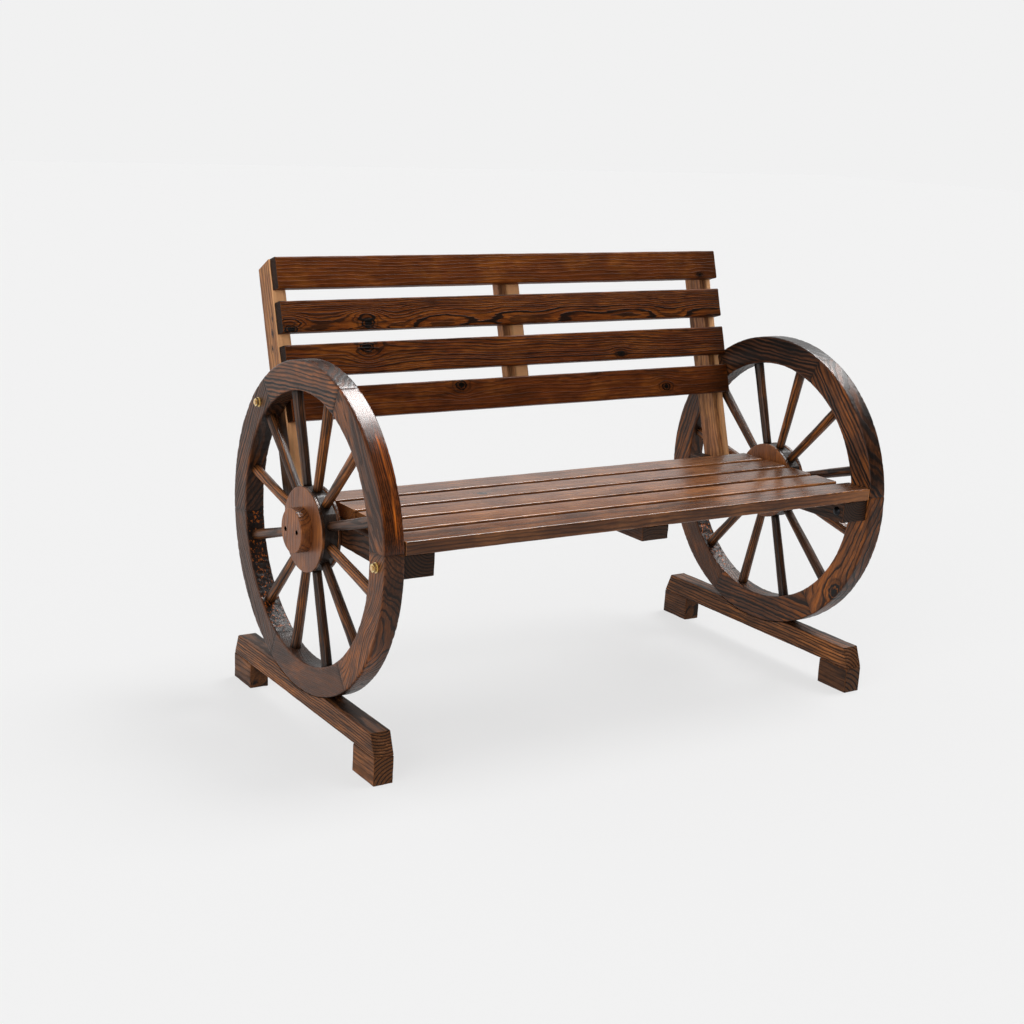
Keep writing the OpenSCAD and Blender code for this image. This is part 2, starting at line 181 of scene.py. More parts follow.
def write_grain(mesh, points, grain, centre, edge, polish=0.0, soot_and_painted_light=0.0, sawn=0.0, ridge=None):
    """Stores the log coordinates, the marks of age and use, and the painted light and shade that the wood
    shader reads.

    The darkening from 0 to 1 is sooty marks and painted shade, and below 0 it is painted light; sawn marks a
    rough sawn face;
    ridge is the height from 0 to 1 of brushed end grain, for the pieces that have it.
    """
    local, rings = log_place(points, centre, grain)
    every = np.ones(len(points))
    has_ridge = ridge is not None
    values = {
        "log": rings,
        "fibre": np.tile(grain.along, (len(points), 1)),
        "look": np.tile([grain.tone, grain.contrast, grain.char], (len(points), 1)),
        "edge": np.column_stack([edge, every * grain.seed, every * polish]),
        "wear_and_light": np.column_stack([every * grain.bold, every * soot_and_painted_light, every * sawn]),
        "ridge": np.column_stack([every * (ridge if has_ridge else 0.0), every * has_ridge, every * 0]),
    }
    for k in range(KNOTS):
        knot = np.tile([99.0, 99.0, 0.0], (len(points), 1))
        if k < len(grain.knots):
            along, across, size, pull = grain.knots[k]
            knot = np.column_stack([
                (local[:, 0] - along) / (KNOT_STRETCH * size), (local[:, 1] - across) / size,
                every * pull * size / grain.ring,
            ])
        values[f"knot_{k + 1}"] = knot
    for name, value in values.items():
        stored = mesh.attributes.new(name, "FLOAT_VECTOR", "POINT")
        stored.data.foreach_set("vector", np.ascontiguousarray(value, np.float32).ravel())


# Meshes

def points_of(mesh):
    flat = np.zeros(len(mesh.vertices) * 3, np.float32)
    mesh.vertices.foreach_get("co", flat)
    return flat.reshape(-1, 3).astype(float) / MM


def put_points(mesh, points):
    mesh.vertices.foreach_set("co", np.ascontiguousarray(points * MM, np.float32).ravel())
    mesh.update()


def normals_of(mesh):
    return np.array([v.normal[:] for v in mesh.vertices])


def finish_piece(name, mesh, nodes, material):
    """Makes the object, shades it, and gives it its place in the part."""
    for polygon in mesh.polygons:
        polygon.use_smooth = True
    mesh.set_sharp_from_angle(angle=math.radians(SHADED_SHARP))
    mesh.materials.clear()
    mesh.materials.append(material)
    piece = bpy.data.objects.new(name, mesh)
    bpy.context.scene.collection.objects.link(piece)
    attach(piece, "root")
    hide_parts(*nodes)
    return piece


EDGE_REACH = 12.0


def box_edge_distance(local):
    """Distance of each point from the nearest edge of the board's box, at most EDGE_REACH."""
    low, high = local.min(0), local.max(0)
    to_faces = np.minimum(local - low, high - local)
    return np.clip(np.sort(to_faces, axis=1)[:, 1], 0, EDGE_REACH)


@dataclass
class Unevenness:
    """Slow hollows all over a face, and small chips along its edges, in millimetres."""

    hollow_length: float
    hollow_share: float
    hollow_depth: float
    hollow_seed: float
    chip_length: float
    chip_reach: float
    chip_depth: float

    def sink(self, points, edge, seed):
        """How far each point lies under the flat face."""
        hollows = smooth_noise(points, self.hollow_length, seed + self.hollow_seed) + self.hollow_share
        chips = np.clip(smooth_noise(points, self.chip_length, seed + 3), 0, 1)
        depth = np.clip(hollows, 0, self.hollow_share + 0.8) * self.hollow_depth
        return depth + ramp(edge, self.chip_reach, 0) * chips * self.chip_depth


BOARD_FACES = Unevenness(hollow_length=55, hollow_share=0.6, hollow_depth=0.35, hollow_seed=2,
                         chip_length=9, chip_reach=4, chip_depth=0.9)
RIM_FACES = Unevenness(hollow_length=40, hollow_share=0.5, hollow_depth=0.35, hollow_seed=0,
                       chip_length=8, chip_reach=5, chip_depth=1.0)


def cut_across(bm, places, direction):
    """Cuts the mesh on planes square to a direction, so that it can follow noise."""
    for place in places:
        bmesh.ops.bisect_plane(
            bm, geom=bm.verts[:] + bm.edges[:] + bm.faces[:], dist=1e-6,
            plane_co=Vector(direction) * place * MM, plane_no=Vector(direction),
        )


END_FACING = 0.8
END_DEPTH = 18.0


def cut_end(bm, end):
    """Cuts the faces at one end of a board finely, so that they can follow their rings."""
    end = np.asarray(end, float)
    reach = max(v.co @ Vector(end) for v in bm.verts) / MM

    def end_faces():
        return [
            f for f in bm.faces
            if f.normal @ Vector(end) > END_FACING
            and (f.calc_center_median() / MM) @ Vector(end) > reach - END_DEPTH
        ]

    faces = end_faces()
    sides = [a for a in (X, Y, Z) if abs(a @ end) < 0.5]
    for side in sides:
        places = [v.co @ Vector(side) / MM for f in faces for v in f.verts]
        for place in np.arange(min(places) + END_PITCH, max(places), END_PITCH):
            verts = {v for f in faces for v in f.verts}
            edges = {e for f in faces for e in f.edges}
            bmesh.ops.bisect_plane(
                bm, geom=[*verts, *edges, *faces], dist=1e-6,
                plane_co=Vector(side) * place * MM, plane_no=Vector(side),
            )
            faces = end_faces()


def board_mesh(node, grain, ease, ends):
    """A straight CAD piece with softened edges, cut up finely enough to follow noise."""
    bm = bmesh.new()
    bm.from_mesh(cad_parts[node].data)
    bmesh.ops.remove_doubles(bm, verts=bm.verts, dist=1e-5)
    bmesh.ops.dissolve_limit(bm, angle_limit=math.radians(1), verts=bm.verts, edges=bm.edges)
    long_sharp = [
        e for e in bm.edges
        if len(e.link_faces) == 2 and e.calc_length() > EASED_LENGTH * MM
        and e.calc_face_angle(0) > math.radians(EASED_ANGLE)
    ]
    if ease:
        bmesh.ops.bevel(
            bm, geom=long_sharp, offset=ease * MM, segments=3, profile=0.5,
            affect="EDGES", clamp_overlap=False,
        )
    through = np.cross(grain.along, grain.across)
    for axis, gap in zip((grain.along, grain.across, through), BOARD_PITCH):
        places = np.array([v.co @ Vector(axis) for v in bm.verts]) / MM
        low, high = places.min(), places.max()
        inner = np.arange(low + gap, high - gap / 2, gap)
        cut_across(bm, [low + FIRST_CUT, *inner, high - FIRST_CUT], axis)
    for end in ends:
        cut_end(bm, end)
    bm.normal_update()
    mesh = bpy.data.meshes.new(node)
    bm.to_mesh(mesh)
    bm.free()
    return mesh


def board(node, grain, material, ease=1.6, ends=(), relief=0.5, soot_and_painted_light=None):
    """Dresses a straight CAD piece: softened edges, uneven faces and brushed end grain.

    ends lists the directions whose end faces show their rings in relief, and the last argument
    gives the sooty darkening and the painted light and shade from the points and their normals.
    """
    mesh = board_mesh(node, grain, ease, ends)
    points = points_of(mesh)
    normals = normals_of(mesh)
    centre = (points.min(0) + points.max(0)) / 2
    local, rings = log_place(points, centre, grain)
    edge = box_edge_distance(local)
    sink = BOARD_FACES.sink(points, edge, grain.seed)
    ridge = ring_relief(rings) if len(ends) else None
    for end in ends:
        facing = ramp(normals @ np.asarray(end, float), END_FACING, END_FACING + 0.15)
        sink += facing * (1 - ridge) * relief
    darkening = soot_and_painted_light(points, normals) if soot_and_painted_light else 0.0
    points -= normals * sink[:, None]
    put_points(mesh, points)
    write_grain(mesh, points, grain, centre, edge, soot_and_painted_light=darkening, ridge=ridge)
    return finish_piece(node + "_dressed", mesh, [node], material)


def swept(name, loops):
    """A closed mesh through a run of loops, an array of stations by points by 3, in millimetres."""
    stations, around, _ = loops.shape
    k = np.arange(around)
    faces = []
    for s in range(stations - 1):
        a, b = s * around, (s + 1) * around
        faces += [(a + i, a + (i + 1) % around, b + (i + 1) % around, b + i) for i in k]
    faces.append(tuple(reversed(range(around))))
    faces.append(tuple((stations - 1) * around + i for i in k))
    mesh = bpy.data.meshes.new(name)
    mesh.from_pydata((loops.reshape(-1, 3) * MM).tolist(), [], faces)
    bm = bmesh.new()
    bm.from_mesh(mesh)
    bmesh.ops.recalc_face_normals(bm, faces=bm.faces)
    bm.to_mesh(mesh)
    bm.free()
    return mesh


def rounded_rectangle(width, height, radius, pitch):
    """Points round a rectangle with rounded corners, and each one's distance from a corner."""
    half = np.array([width, height]) / 2 - radius
    centres = [half * signs for signs in ((1, 1), (-1, 1), (-1, -1), (1, -1))]
    points, gaps = [], []
    for k, centre in enumerate(centres):
        turns = np.radians(np.linspace(k * 90, k * 90 + 90, CORNER_POINTS))
        spread = radius * np.column_stack([np.cos(turns), np.sin(turns)])
        points += list(centre + spread)
        gaps += [0.0] * CORNER_POINTS
        first = centre + spread[-1]
        last = centres[(k + 1) % 4] + spread[-1]
        length = np.linalg.norm(last - first)
        steps = max(2, round(length / pitch))
        for step in range(1, steps):
            points.append(first + (last - first) * step / steps)
            gaps.append(min(step, steps - step) * length / steps)
    return np.array(points), np.array(gaps)


JOINT_EASE = 0.35
JOINT_SOOT_REACH = 9.0
SAW_DEPTH = 1.8
HIGHLIGHT_WIDTH = 1.0


def felloe_loops(centre, angles, radius):
    """The cross-sections of a felloe, eased a little at its joints, and their gaps from a corner."""
    depth = WHEEL_RADIUS - RIM_INNER
    outline, gaps = rounded_rectangle(depth, RIM_THICKNESS, RIM_EASE, SECTION_PITCH)
    loops = []
    for angle in angles:
        ease = JOINT_EASE if angle in (angles[0], angles[-1]) else 0.0
        section = outline * (1 - 2 * ease / np.array([depth, RIM_THICKNESS]))
        out = radius + section[:, 0]
        loops.append(np.column_stack([
            centre[0] + section[:, 1],
            out * math.cos(angle),
            HUB_HEIGHT + out * math.sin(angle),
        ]))
    return np.array(loops), gaps


def painted_tread_highlight(points, across, streak, seed):
    """A painted highlight, a glossy line of light colour down a tread, from 0 to 1."""
    place, first, last = streak
    turns = np.degrees(np.arctan2(points[:, 2] - HUB_HEIGHT, points[:, 1]))
    wander = smooth_noise(points, 50, seed + 8) * 3
    drawn = np.exp(-((across - place - wander) / HIGHLIGHT_WIDTH) ** 2)
    return drawn * ramp(turns, first, first + 3) * ramp(turns, last, last - 9)


def felloe(side, number, grain, material, rough, tread_soot, tread_polish, streak=None):
    """One sixth of a rim, sawn from a board, with its grain along the chord.

    rough is how deep the saw marks on its inner face are, as a share of SAW_DEPTH;
    tread_soot and tread_polish are the darkness and the varnish of its tread. streak is a
    painted highlight, a glossy line of light colour down the tread: its place across, and the turns that it
    runs between.
    """
    turn = 360 / FELLOES
    start = JOINT_TURN + (number - 1) * turn
    middle = math.radians(start + turn / 2)
    tangent = np.array([0, -math.sin(middle), math.cos(middle)])
    radial = np.array([0, math.cos(middle), math.sin(middle)])
    grain = replace(grain, along=tangent, across=radial)
    centre = np.array([WHEEL_X[side], 0, HUB_HEIGHT])
    radius = (WHEEL_RADIUS + RIM_INNER) / 2
    angles = np.radians(np.linspace(start, start + turn, FELLOE_STATIONS))
    loops, gaps = felloe_loops(centre, angles, radius)
    mesh = swept(f"{side}_felloe_{number}", loops)
    points = points_of(mesh)
    normals = normals_of(mesh)
    edge = np.tile(gaps, FELLOE_STATIONS)
    out = np.hypot(points[:, 1], points[:, 2] - HUB_HEIGHT)
    inner = ramp(out, RIM_INNER + 0.8, RIM_INNER)
    tread = ramp(out, WHEEL_RADIUS - 3, WHEEL_RADIUS - 1)
    saw = np.abs(smooth_noise(points, (20, 8, 8), grain.seed + 5))
    saw += np.abs(smooth_noise(points, 9, grain.seed + 6)) * 0.4
    from_joint = np.repeat(np.minimum(angles - angles[0], angles[-1] - angles), len(gaps)) * radius
    patches = np.clip(1 + smooth_noise(points, 45, grain.seed + 7), 0.3, 1.5)
    soot_and_painted_light = np.maximum(0.5 * ramp(from_joint, JOINT_SOOT_REACH, 0), tread * tread_soot * patches)
    if streak:
        # Painted highlight: a glossy streak in the pale colour down the tread
        soot_and_painted_light -= 0.95 * tread * painted_tread_highlight(points, points[:, 0] - centre[0], streak, grain.seed)
    sink = RIM_FACES.sink(points, edge, grain.seed) + inner * saw * SAW_DEPTH * rough
    points -= normals * sink[:, None]
    put_points(mesh, points)
    sawn = inner * (1.0 if rough > 0.5 else 0.6)
    write_grain(mesh, points, grain, centre + radial * radius, edge, tread * tread_polish, soot_and_painted_light, sawn)
    node = f"{side}_felloe_{number}"
    return finish_piece(node + "_dressed", mesh, [node], material)


FLAT_LENGTH = 70.0


def lathe(name, profile, base, axis, segments, wobble, seed):
    """Turns a profile of (place along the axis, radius) round an axis through base.

    wobble is the depth of the flats that were left in turning.
    """
    axis = np.asarray(axis, float)
    side = np.cross(axis, X if abs(axis @ X) < 0.9 else Y)
    side /= np.linalg.norm(side)
    other = np.cross(axis, side)
    turns = np.linspace(0, 2 * math.pi, segments, endpoint=False)
    loops = []
    for along, radius in profile:
        out = np.outer(np.cos(turns), side) + np.outer(np.sin(turns), other)
        flat = smooth_noise(out * 1.1 + axis * along / FLAT_LENGTH, 1, seed) * wobble
        loops.append(base + axis * along + out * (radius - np.abs(flat))[:, None])
    return swept(name, np.array(loops))


SPOKE_END_SHADE_REACH = 20.0


def spoke_profile():
    """Places along a spoke and its radius there: tenon, shoulder, tapered body and tenon."""
    hub_r, rim_r = SPOKE_HUB_D / 2, SPOKE_RIM_D / 2
    body = [(SHOULDER + 0.01, hub_r - 0.6), (SHOULDER + 0.8, hub_r)]
    for along in np.linspace(SHOULDER + 6, SPOKE_END, SPOKE_STATIONS):
        share = (along - SHOULDER) / (SPOKE_END - SHOULDER)
        body.append((along, hub_r + share * (rim_r - hub_r)))
    return [
        (HUB_TENON_END, HUB_TENON_D / 2 - TENON_EASE), (HUB_TENON_END + TENON_EASE, HUB_TENON_D / 2),
        (SHOULDER, HUB_TENON_D / 2), *body,
        (SPOKE_END + 0.01, RIM_TENON_D / 2), (RIM_TENON_END - TENON_EASE, RIM_TENON_D / 2),
        (RIM_TENON_END, RIM_TENON_D / 2 - TENON_EASE),
    ]


def spoke_pair(side, number, grain, material):
    """Two spokes in line, each tapered towards the hub and tenoned at both ends."""
    meshes = []
    centre = np.array([WHEEL_X[side], 0, HUB_HEIGHT])
    for half in (0, 1):
        angle = math.radians(FIRST_SPOKE + (number - 1) * 360 / SPOKES + half * 180)
        axis = np.array([0, math.cos(angle), math.sin(angle)])
        own = replace(grain, along=axis, across=X, seed=grain.seed + half * 3.3,
                      pith=(grain.pith[0], grain.pith[1] * (1 if half else -0.8)))
        mesh = lathe(f"{side}_spoke", spoke_profile(), centre, axis, SPOKE_SEGMENTS, 0.8, own.seed)
        points = points_of(mesh)
        middle = centre + axis * (SHOULDER + SPOKE_END) / 2
        along = (points - centre) @ axis
        from_end = np.minimum(along - SHOULDER, SPOKE_END - along)
        # Painted shade near both ends of the spoke, where it goes into the hub and into the rim.
        soot_and_painted_light = 0.85 * ramp(from_end, SPOKE_END_SHADE_REACH, 0) ** 1.5
        write_grain(mesh, points, own, middle, np.full(len(points), 9.0), soot_and_painted_light=soot_and_painted_light)
        meshes.append(mesh)
    node = f"{side}_spoke_pair_{number}"
    mesh = join_meshes(node, meshes)
    return finish_piece(node + "_dressed", mesh, [node], material)


def join_meshes(name, meshes):
    """One mesh made of several, with their attributes."""
    bm = bmesh.new()
    for mesh in meshes:
        bm.from_mesh(mesh)
    joined = bpy.data.meshes.new(name)
    bm.to_mesh(joined)
    bm.free()
    return joined


def disc(side, node, inner, outer, diameter, grain, material, edge_soot=0.0):
    """A flat turned piece of a hub, from the inner to the outer distance from the wheel's middle."""
    sign = SIDES[side]
    radius = diameter / 2
    ease = TURNED_EASE
    rounding = [
        (ease * (1 - math.sin(a)), radius - ease * (1 - math.cos(a)))
        for a in np.radians(np.linspace(90, 0, 5))
    ]
    thick = outer - inner
    rings = [radius * k / DISC_RINGS for k in range(1, DISC_RINGS)]
    rings = [r for r in rings if r < radius - ease]
    profile = [(0, 0.01), *[(0, r) for r in rings], *rounding]
    profile += [(thick - a, r) for a, r in reversed(rounding)]
    profile += [(thick, r) for r in reversed(rings)] + [(thick, 0.01)]
    base = np.array([WHEEL_X[side] + sign * inner, 0, HUB_HEIGHT])
    mesh = lathe(node, profile, base, X * sign, DISC_SEGMENTS, 0.25, grain.seed)
    points = points_of(mesh)
    out = np.hypot(points[:, 1], points[:, 2] - HUB_HEIGHT)
    depth = np.abs(points[:, 0] - base[0])
    edge = np.clip((radius - out) + np.minimum(depth, thick - depth), 0, EDGE_REACH)
    rim = ramp(out, radius - 1.0, radius - 0.2)
    patches = np.clip(0.75 + smooth_noise(points, 26, grain.seed + 4) * 1.6, 0, 1)
    write_grain(mesh, points, grain, base, edge, soot_and_painted_light=rim * patches * edge_soot)
    return finish_piece(node + "_dressed", mesh, [node], material)


# Materials

def linear(red, green, blue):
    """A colour given as it is seen on a screen, 0 to 255, as Blender's linear values."""
    def one(value):
        value /= 255
        return value / 12.92 if value <= 0.04045 else ((value + 0.055) / 1.055) ** 2.4
    return (one(red), one(green), one(blue), 1.0)


class Nodes:
    """A short way to build a node tree."""

    def __init__(self, material):
        material.use_nodes = True
        self.tree = material.node_tree
        self.tree.nodes.clear()

    def add(self, kind, inputs=None, **settings):
        node = self.tree.nodes.new(kind)
        for key, value in settings.items():
            setattr(node, key, value)
        for key, value in (inputs or {}).items():
            self.feed(node.inputs[key], value)
        return node

    def feed(self, socket, value):
        if isinstance(value, bpy.types.NodeSocket):
            self.tree.links.new(value, socket)
        else:
            socket.default_value = value

    def math(self, operation, a, b=0.0, c=0.0, clamp=False):
        node = self.add("ShaderNodeMath", {0: a, 1: b, 2: c}, operation=operation, use_clamp=clamp)
        return node.outputs[0]

    def times(self, a, b):
        return self.math("MULTIPLY", a, b)

    def plus(self, a, b, clamp=False):
        return self.math("ADD", a, b, clamp=clamp)

    def fitted(self, value, scale, shift):
        """The value scaled, and then shifted."""
        return self.math("MULTIPLY_ADD", value, scale, shift)

    def swing(self, noise, amount):
        """A noise from 0 to 1, made to run from -amount to amount."""
        return self.fitted(noise, 2 * amount, -amount)

    def length(self, a, b):
        """The length of a flat vector."""
        return self.math("SQRT", self.plus(self.times(a, a), self.times(b, b)))

    def vector(self, operation, a, b=(0.0, 0.0, 0.0)):
        node = self.add("ShaderNodeVectorMath", {0: a, 1: b}, operation=operation)
        return node.outputs["Value" if operation in ("LENGTH", "DOT_PRODUCT") else "Vector"]

    def noise(self, vector, scale, detail=2.0, rough=0.5):
        inputs = {"Vector": vector, "Scale": scale, "Detail": detail, "Roughness": rough}
        return self.add("ShaderNodeTexNoise", inputs).outputs["Fac"]

    def span(self, value, low, high, to_low=0.0, to_high=1.0, smooth=True):
        node = self.add("ShaderNodeMapRange", {0: value, 1: low, 2: high, 3: to_low, 4: to_high},
                        interpolation_type="SMOOTHSTEP" if smooth else "LINEAR")
        return node.outputs[0]

    def mix(self, factor, a, b, blend="MIX"):
        node = self.add("ShaderNodeMix", data_type="RGBA", blend_type=blend)
        self.feed(node.inputs[0], factor)
        self.feed(node.inputs[6], a)
        self.feed(node.inputs[7], b)
        return node.outputs[2]

    def attribute(self, name):
        return self.add("ShaderNodeAttribute", attribute_name=name).outputs["Vector"]

    def split(self, vector):
        return tuple(self.add("ShaderNodeSeparateXYZ", {0: vector}).outputs)

    def stretched(self, place, stretch, detail=2.0, rough=0.5):
        """Noise over a place that is stretched along the log."""
        return self.noise(self.vector("MULTIPLY", place, stretch), 1.0, detail, rough)

    def scaled(self, colour, amount):
        node = self.add("ShaderNodeVectorMath", {0: colour, "Scale": amount}, operation="SCALE")
        return node.outputs[0]


def knot_marks(n, field, a):
    """Bends the rings round the knots, and gives the bent rings and the knots' own shade.

    A knot whose pull is below 0 isn't seen itself, and only bends the rings.
    """
    shade = 0.0
    for k in range(KNOTS):
        place = n.attribute(f"knot_{k + 1}")
        along, across, pull = n.split(place)
        gap = n.length(along, across)
        ragged = n.plus(gap, n.swing(n.noise(place, 1.1, 3.0, 0.6), 0.5))
        reach = n.math("EXPONENT", n.times(n.times(gap, gap), -0.28))
        force = n.times(n.math("ABSOLUTE", pull), 0.85)
        push = n.times(n.times(reach, across), force)
        field = n.math("SUBTRACT", field, n.times(push, n.math("SIGN", a)))
        rings = n.span(n.math("SINE", n.times(ragged, 11.0)), -0.3, 0.7, 0.25, 1.0)
        outer = n.times(n.span(ragged, 1.7, 0.8), rings)
        heart = n.span(ragged, 0.6, 0.4)
        real = n.span(pull, 0.0, 0.2)
        own = n.times(n.math("MAXIMUM", outer, heart), real)
        shade = n.math("MAXIMUM", shade, own)
    return field, shade


def late_wood(n, field, seed, bold):
    """The dark band of each ring, from 0 to 1: wider where bold is higher, and no two alike."""
    along_rings = n.add("ShaderNodeCombineXYZ", {0: n.times(field, 0.7), 1: seed}).outputs[0]
    field = n.plus(field, n.times(n.noise(along_rings, 1.0, 1.0), 1.3))
    turn = n.math("FRACT", field)
    start = n.fitted(bold, -0.42, 0.62)
    rise = n.span(turn, start, n.plus(start, 0.24))
    band = n.times(rise, n.span(turn, 1.0, 0.9))
    index = n.plus(n.math("FLOOR", field), seed)
    each = n.add("ShaderNodeTexWhiteNoise", {"W": index}, noise_dimensions="1D").outputs[0]
    return n.times(band, n.span(each, 0.0, 1.0, 0.62, 1.0, smooth=False))


def ring_bands(n, log, seeded, seed, bold):
    """The late wood of the rings, bent by noise and round the knots, and the knots' own shade."""
    _, a, b = n.split(log)
    slow_bend = n.swing(n.stretched(seeded, (0.011, 0.22, 0.22)), 0.75)
    quick_bend = n.swing(n.stretched(seeded, (0.05, 0.5, 0.5)), 0.25)
    field = n.plus(n.length(a, b), n.plus(slow_bend, quick_bend))
    field, knot_shade = knot_marks(n, field, a)
    return late_wood(n, field, seed, bold), knot_shade


def end_facing(n):
    """How far a face is end grain, from 0 to 1: the fibres run out of it."""
    normal = n.add("ShaderNodeNewGeometry").outputs["Normal"]
    facing = n.math("ABSOLUTE", n.vector("DOT_PRODUCT", normal, n.attribute("fibre")))
    return n.span(facing, 0.55, 0.9)


def with_soot_and_painted_light(n, body, burnt, worn_and_lit, soot_and_painted_light, sawn, torn):
    """Soot at joints and in rough sawn faces, painted shade and painted light, with amber where the saw tore
    the wood.
    """
    # Above 0 the value darkens, for sooty marks and painted shade; below 0 it paints light in the pale
    # abraded colour.
    body = n.mix(n.math("MAXIMUM", soot_and_painted_light, 0.0), body, burnt)
    body = n.mix(n.math("MAXIMUM", n.times(soot_and_painted_light, -1.0), 0.0), body, worn_and_lit)
    body = n.mix(n.span(sawn, 0.0, 1.0, 0.0, 0.85, smooth=False), body, burnt)
    amber = n.times(n.span(torn, 0.54, 0.68), n.span(sawn, 0.6, 1.0))
    return n.mix(n.times(amber, 0.6), body, worn_and_lit)


VARNISH = (1.0, 0.66, 0.36, 1.0)
WOOD_RELIEF = 0.9 * MM


def wood(name, stain, rough=0.4, coat=0.0, shine=0.3, edge_rub_and_light=0.65, end_dark=0.45, relief=1.0,
         coat_rough=0.22, fine=1.0):
    """Stained and brushed softwood, drawn from the rings of its own log.

    stain is its colours as seen on a screen: early, warm and late wood, burnt, and abraded, the last also
    being the colour of painted light.
    The abrasion argument is how abraded the edges are, and on the sharp-edged seat it is also a painted edge
    highlight;
    end_dark is the stain of the end grain, and fine how strongly the fibres show.
    """
    material = bpy.data.materials.new(name)
    n = Nodes(material)
    early, warm, late, burnt, worn_and_lit = (linear(*colour) for colour in stain)
    log = n.attribute("log")
    tone, contrast, char = n.split(n.attribute("look"))
    edge_gap, seed, polish = n.split(n.attribute("edge"))
    bold, soot_and_painted_light, sawn = n.split(n.attribute("wear_and_light"))
    ridge, has_ridge, _ = n.split(n.attribute("ridge"))
    shift = n.add("ShaderNodeCombineXYZ", {0: n.times(seed, 31.7), 1: n.times(seed, 5.3), 2: seed})
    seeded = n.vector("ADD", log, shift.outputs[0])
    band, knot_shade = ring_bands(n, log, seeded, seed, bold)

    # Fibres, pores, slow changes of stain, and wood torn by the saw
    fibre = n.stretched(seeded, (0.03, 2.2, 2.2), 4.0, 0.66)
    fleck = n.stretched(seeded, (0.22, 12.0, 12.0), 1.0)
    streak = n.stretched(seeded, (0.012, 0.9, 0.9), 2.0, 0.55)
    blotch = n.stretched(seeded, (0.012, 0.09, 0.09), 3.0, 0.6)
    cloud = n.stretched(seeded, (0.008, 0.12, 0.12), 3.0, 0.6)
    torn = n.stretched(seeded, (0.14, 0.9, 0.9), 3.0, 0.7)

    # The face: stain, rings, light and shade of the fibres, smoke and knots
    warmth = n.plus(n.span(blotch, 0.42, 0.66), n.times(tone, 1.2), clamp=True)
    streaks = n.times(n.span(streak, 0.42, 0.66), n.fitted(contrast, 0.7, 0.1))
    base = n.mix(streaks, n.mix(warmth, early, warm), late)
    body = n.mix(n.times(band, contrast), base, burnt)
    fibre_shade = n.span(fibre, 0.3, 0.72, 0.95 - 0.45 * fine, 0.95 + 0.39 * fine, smooth=False)
    shade = n.times(fibre_shade, n.fitted(tone, 0.5, 1.0))
    shade = n.times(shade, n.span(fleck, 0.6, 0.8, 1.0, 0.72))
    body = n.scaled(body, shade)
    body = n.mix(n.times(n.span(cloud, 0.4, 0.7), char), body, burnt)
    body = n.mix(knot_shade, body, burnt)

    # Varnished treads are deeper in colour
    deep = n.mix(1.0, body, VARNISH, "MULTIPLY")
    body = n.mix(n.times(polish, 0.75), body, deep)

    # Rubbed edges with painted edge highlights, end grain with painted light and shade on its relief, and
    # sooty marks with painted light and shade
    wander = n.swing(n.stretched(seeded, (0.09, 0.7, 0.7), 3.0), 2.5)
    # Edge abrasion, which on the sharp-edged seat is also a painted edge highlight
    rubbed_and_lit_edges = n.times(n.span(n.plus(edge_gap, wander), 1.6, 0.1), edge_rub_and_light)
    body = n.mix(rubbed_and_lit_edges, body, worn_and_lit)
    # Brushed end grain is painted dark in its grooves and light on its crests, painted shade and light that
    # follow the relief; other end grain follows its rings.
    drawn = n.times(n.fitted(band, -0.8, 1.0), n.math("SUBTRACT", 1.0, has_ridge))
    crest = n.plus(drawn, n.times(n.span(ridge, 0.25, 0.8), has_ridge))
    ended = n.scaled(n.mix(crest, burnt, n.mix(0.35, warm, late)), shade)
    body = n.mix(n.times(end_facing(n), 0.9), body, n.mix(end_dark, ended, burnt))
    body = with_soot_and_painted_light(n, body, burnt, worn_and_lit, soot_and_painted_light, sawn, torn)

    # Relief and gloss
    height = n.plus(n.times(band, 0.7), n.times(fibre, 0.5))
    height = n.plus(height, n.times(fleck, -0.15))
    height = n.times(height, n.fitted(polish, -0.92, 1.0))
    height = n.plus(height, n.times(torn, sawn))
    bump = n.add("ShaderNodeBump", {"Strength": 0.6, "Distance": WOOD_RELIEF * relief, "Height": height})
    roughness = n.span(n.plus(fibre, n.times(band, 0.25)), 0.3, 1.0, rough - 0.06, rough + 0.16)
    roughness = n.times(roughness, n.fitted(polish, -0.4, 1.0))
    roughness = n.fitted(sawn, 0.12, roughness)
    shader = n.add("ShaderNodeBsdfPrincipled", {
        "Base Color": body, "Roughness": roughness, "Normal": bump.outputs[0],
        "Coat Weight": coat, "Coat Roughness": coat_rough, "Specular IOR Level": shine,
    })
    n.add("ShaderNodeOutputMaterial", {0: shader.outputs[0]})
    return material


# Bolt heads are plated from a little inside the wheels' outer faces outwards
PLATED_FROM = (WHEEL_X["right"] + RIM_THICKNESS / 2 - 4.5) * MM
PLATED_TO = PLATED_FROM + 0.5 * MM
METAL_RELIEF = 0.2 * MM


def metal(name, colour, spot, rough, metallic, scale, plated=None):
    """Plated or painted steel with small changes of colour and roughness.

    plated is a colour for what stands out of the wheels.
    """
    material = bpy.data.materials.new(name)
    n = Nodes(material)
    place = n.add("ShaderNodeTexCoord").outputs["Object"]
    patch = n.noise(place, scale, 3.0, 0.6)
    grit = n.noise(place, scale * 7, 2.0)
    body = n.mix(n.span(patch, 0.4, 0.65), colour, spot)
    if plated:
        outwards = n.math("ABSOLUTE", n.split(place)[0])
        body = n.mix(n.span(outwards, PLATED_FROM, PLATED_TO), body, plated)
    bump = n.add("ShaderNodeBump", {"Strength": 0.25, "Distance": METAL_RELIEF, "Height": grit})
    shader = n.add("ShaderNodeBsdfPrincipled", {
        "Base Color": body, "Metallic": metallic, "Normal": bump.outputs[0],
        "Roughness": n.span(grit, 0.2, 0.8, rough - 0.08, rough + 0.12),
    })
    n.add("ShaderNodeOutputMaterial", {0: shader.outputs[0]})
    return material


